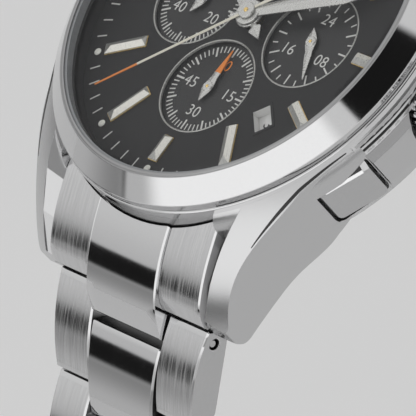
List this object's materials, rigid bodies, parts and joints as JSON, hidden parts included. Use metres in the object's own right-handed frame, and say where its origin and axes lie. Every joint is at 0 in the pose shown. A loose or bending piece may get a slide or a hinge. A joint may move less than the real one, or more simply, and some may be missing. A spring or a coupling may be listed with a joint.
{
  "type": "chronograph wristwatch",
  "caption": "Steel chronograph wristwatch with sub-dials, push-pieces, a crown and a link bracelet closed by a folding clasp.",
  "frame": {"origin": "middle of the case back's outer face", "axes": "+Z out of the dial, +X to the crown at three o'clock, +Y to twelve o'clock"},
  "size_m": [0.0443, 0.086, 0.0611],
  "materials": {
    "polished_steel": "mirror-polished stainless steel",
    "brushed_steel": "satin-brushed stainless steel with polished bevels",
    "crystal": "clear flat sapphire with a coated underside",
    "clear_gasket": "translucent nylon ring",
    "flange_black": "satin black",
    "dial_black": "matt black, finely grained",
    "marker_cream": "cream luminous fill on satin metal batons",
    "print_white": "matt printed ink",
    "movement_plastic": "moulded",
    "plated_brass": "gilt, fine grained",
    "screw_steel": "turned steel",
    "circuit_green": "solder mask",
    "coil_copper": "enamelled copper winding",
    "gasket_rubber": "smooth",
    "hand_steel": "satin-brushed",
    "hand_cream": "cream lacquer with an orange tip",
    "date_white": "matt white with black numerals"
  },
  "bodies": {
    "case": {"case_middle": "brushed_steel", "bezel": "polished_steel", "crystal": "crystal", "crystal_gasket": "clear_gasket", "rehaut_ring": "flange_black", "dial": "dial_black", "subdial_rings": "polished_steel", "hour_markers": "marker_cream", "minute_dots": "print_white", "date_frame": "polished_steel", "movement_holder": "movement_plastic", "main_plate": "plated_brass", "train_bridge": "plated_brass", "bridge_screws": "screw_steel", "circuit_board": "circuit_green", "motor_coils": "coil_copper", "battery": "screw_steel", "case_back": "brushed_steel", "case_back_gasket": "gasket_rubber", "crown_tube": "polished_steel", "pusher_tubes": "polished_steel", "pusher_spring_2": "screw_steel", "pusher_spring_4": "screw_steel", "end_link_12": "brushed_steel", "end_link_6": "brushed_steel", "spring_bars": "screw_steel"},
    "minute_hand": {"minute_hand": "hand_steel", "cannon_pinion": "plated_brass"},
    "hour_hand": {"hour_hand": "hand_steel", "hour_wheel": "plated_brass"},
    "chrono_seconds_hand": {"chrono_seconds_hand": "hand_cream"},
    "small_seconds_hand": {"small_seconds_hand": "hand_steel"},
    "chrono_minutes_hand": {"chrono_minutes_hand": "hand_steel"},
    "day_hand": {"day_hand": "hand_steel"},
    "date_ring": {"date_ring": "date_white"},
    "clutch_pinion": {"clutch_pinion": "screw_steel"},
    "crown": {"crown": "polished_steel", "winding_stem": "screw_steel"},
    "pusher_2": {"pusher_2": "brushed_steel"},
    "pusher_4": {"pusher_4": "brushed_steel"},
    "row_12_1": {"row_12_1": "brushed_steel"},
    "row_12_2": {"row_12_2": "brushed_steel"},
    "row_12_3": {"row_12_3": "brushed_steel"},
    "row_12_4": {"row_12_4": "brushed_steel"},
    "row_12_5": {"row_12_5": "brushed_steel"},
    "row_12_6": {"row_12_6": "brushed_steel"},
    "row_12_7": {"row_12_7": "brushed_steel"},
    "row_6_1": {"row_6_1": "brushed_steel"},
    "row_6_2": {"row_6_2": "brushed_steel"},
    "row_6_3": {"row_6_3": "brushed_steel"},
    "row_6_4": {"row_6_4": "brushed_steel"},
    "row_6_5": {"row_6_5": "brushed_steel"},
    "row_6_6": {"row_6_6": "brushed_steel"},
    "row_6_7": {"row_6_7": "brushed_steel"},
    "clasp_cover": {"clasp_cover": "brushed_steel", "clasp_pin": "screw_steel"},
    "clasp_blade_outer": {"clasp_blade_outer": "polished_steel"},
    "clasp_blade_inner": {"clasp_blade_inner": "polished_steel"},
    "clasp_button_3": {"clasp_button_3": "polished_steel"},
    "clasp_button_9": {"clasp_button_9": "polished_steel"}
  },
  "joints": [
    {"name": "minute_turn", "type": "hinge", "parent": "case", "child": "minute_hand", "pos_m": [0, 0, 0.0084], "axis": [0, 0, -1], "continuous": true},
    {"name": "hour_turn", "type": "hinge", "parent": "case", "child": "hour_hand", "pos_m": [0, 0, 0.0084], "axis": [0, 0, -1], "continuous": true},
    {"name": "day_turn", "type": "hinge", "parent": "case", "child": "day_hand", "pos_m": [0.00712, 0, 0.0084], "axis": [0, 0, -1], "continuous": true},
    {"name": "small_seconds_turn", "type": "hinge", "parent": "case", "child": "small_seconds_hand", "pos_m": [0, -0.00712, 0.0084], "axis": [0, 0, -1], "continuous": true},
    {"name": "chrono_seconds_turn", "type": "hinge", "parent": "case", "child": "chrono_seconds_hand", "pos_m": [0, 0, 0.0084], "axis": [0, 0, -1], "continuous": true},
    {"name": "chrono_minutes_turn", "type": "hinge", "parent": "case", "child": "chrono_minutes_hand", "pos_m": [-0.00712, 0, 0.0084], "axis": [0, 0, -1], "continuous": true},
    {"name": "date_turn", "type": "hinge", "parent": "case", "child": "date_ring", "pos_m": [0, 0, 0.0084], "axis": [0, 0, 1], "continuous": true},
    {"name": "crown_turn", "type": "hinge", "parent": "case", "child": "clutch_pinion", "pos_m": [0.0114, 0, 0.00468], "axis": [1, 0, 0], "continuous": true},
    {"name": "crown_pull", "type": "slide", "parent": "clutch_pinion", "child": "crown", "axis": [1, 0, 0], "range_m": [0, 0.001]},
    {"name": "pusher_2_press", "type": "slide", "parent": "case", "child": "pusher_2", "axis": [-0.8192, -0.5736, 0], "range_m": [0, 0.0007], "stiffness_N_per_m": 1500, "springref_m": -0.0008, "deforming": ["pusher_spring_2"]},
    {"name": "pusher_4_press", "type": "slide", "parent": "case", "child": "pusher_4", "axis": [-0.8192, 0.5736, 0], "range_m": [0, 0.0007], "stiffness_N_per_m": 1500, "springref_m": -0.0008, "deforming": ["pusher_spring_4"]},
    {"name": "row_12_1_hinge", "type": "hinge", "parent": "case", "child": "row_12_1", "pos_m": [0, 0.025, -0.0007], "axis": [1, 0, 0], "range_deg": [0, 25]},
    {"name": "row_12_2_hinge", "type": "hinge", "parent": "row_12_1", "child": "row_12_2", "pos_m": [0, 0.03176, -0.00679], "axis": [1, 0, 0], "range_deg": [0, 0.5]},
    {"name": "row_12_3_hinge", "type": "hinge", "parent": "row_12_2", "child": "row_12_3", "pos_m": [0, 0.03898, -0.01233], "axis": [1, 0, 0], "range_deg": [0, 41.5]},
    {"name": "row_12_4_hinge", "type": "hinge", "parent": "row_12_3", "child": "row_12_4", "pos_m": [0, 0.04149, -0.02108], "axis": [1, 0, 0], "range_deg": [0, 25]},
    {"name": "row_12_5_hinge", "type": "hinge", "parent": "row_12_4", "child": "row_12_5", "pos_m": [0, 0.04086, -0.03015], "axis": [1, 0, 0], "range_deg": [0, 29]},
    {"name": "row_12_6_hinge", "type": "hinge", "parent": "row_12_5", "child": "row_12_6", "pos_m": [0, 0.03658, -0.03819], "axis": [1, 0, 0], "range_deg": [0, 28]},
    {"name": "row_12_7_hinge", "type": "hinge", "parent": "row_12_6", "child": "row_12_7", "pos_m": [0, 0.02951, -0.04392], "axis": [1, 0, 0], "range_deg": [0, 31]},
    {"name": "row_6_1_hinge", "type": "hinge", "parent": "case", "child": "row_6_1", "pos_m": [0, -0.025, -0.0007], "axis": [-1, 0, 0], "range_deg": [0, 25]},
    {"name": "row_6_2_hinge", "type": "hinge", "parent": "row_6_1", "child": "row_6_2", "pos_m": [0, -0.03176, -0.00679], "axis": [-1, 0, 0], "range_deg": [0, 0.5]},
    {"name": "row_6_3_hinge", "type": "hinge", "parent": "row_6_2", "child": "row_6_3", "pos_m": [0, -0.03898, -0.01233], "axis": [-1, 0, 0], "range_deg": [0, 41.5]},
    {"name": "row_6_4_hinge", "type": "hinge", "parent": "row_6_3", "child": "row_6_4", "pos_m": [0, -0.04149, -0.02108], "axis": [-1, 0, 0], "range_deg": [0, 25]},
    {"name": "row_6_5_hinge", "type": "hinge", "parent": "row_6_4", "child": "row_6_5", "pos_m": [0, -0.04086, -0.03015], "axis": [-1, 0, 0], "range_deg": [0, 29]},
    {"name": "row_6_6_hinge", "type": "hinge", "parent": "row_6_5", "child": "row_6_6", "pos_m": [0, -0.03658, -0.03819], "axis": [-1, 0, 0], "range_deg": [0, 28]},
    {"name": "row_6_7_hinge", "type": "hinge", "parent": "row_6_6", "child": "row_6_7", "pos_m": [0, -0.02951, -0.04392], "axis": [-1, 0, 0], "range_deg": [0, 31]},
    {"name": "clasp_hinge", "type": "hinge", "parent": "row_12_7", "child": "clasp_cover", "pos_m": [0, 0.02065, -0.04596], "axis": [1, 0, 0], "range_deg": [0, 18]},
    {"name": "blade_outer_fold", "type": "hinge", "parent": "clasp_cover", "child": "clasp_blade_outer", "pos_m": [0, -0.0165, -0.04636], "axis": [1, 0, 0], "range_deg": [0, 44]},
    {"name": "blade_inner_fold", "type": "hinge", "parent": "clasp_blade_outer", "child": "clasp_blade_inner", "pos_m": [0, 0.014, -0.0462], "axis": [-1, 0, 0], "range_deg": [0, 44]},
    {"name": "clasp_button_3_press", "type": "slide", "parent": "clasp_cover", "child": "clasp_button_3", "axis": [-1, 0, 0], "range_m": [0, 0.0006], "stiffness_N_per_m": 800, "springref_m": -0.0008},
    {"name": "clasp_button_9_press", "type": "slide", "parent": "clasp_cover", "child": "clasp_button_9", "axis": [1, 0, 0], "range_m": [0, 0.0006], "stiffness_N_per_m": 800, "springref_m": -0.0008}
  ],
  "couplings": [
    {"joint": "hour_turn", "follows": "minute_turn", "ratio": 0.083333},
    {"joint": "day_turn", "follows": "minute_turn", "ratio": 0.041667},
    {"joint": "small_seconds_turn", "follows": "minute_turn", "ratio": 60},
    {"joint": "chrono_minutes_turn", "follows": "chrono_seconds_turn", "ratio": 0.016667},
    {"joint": "blade_inner_fold", "follows": "blade_outer_fold", "ratio": 1}
  ]
}
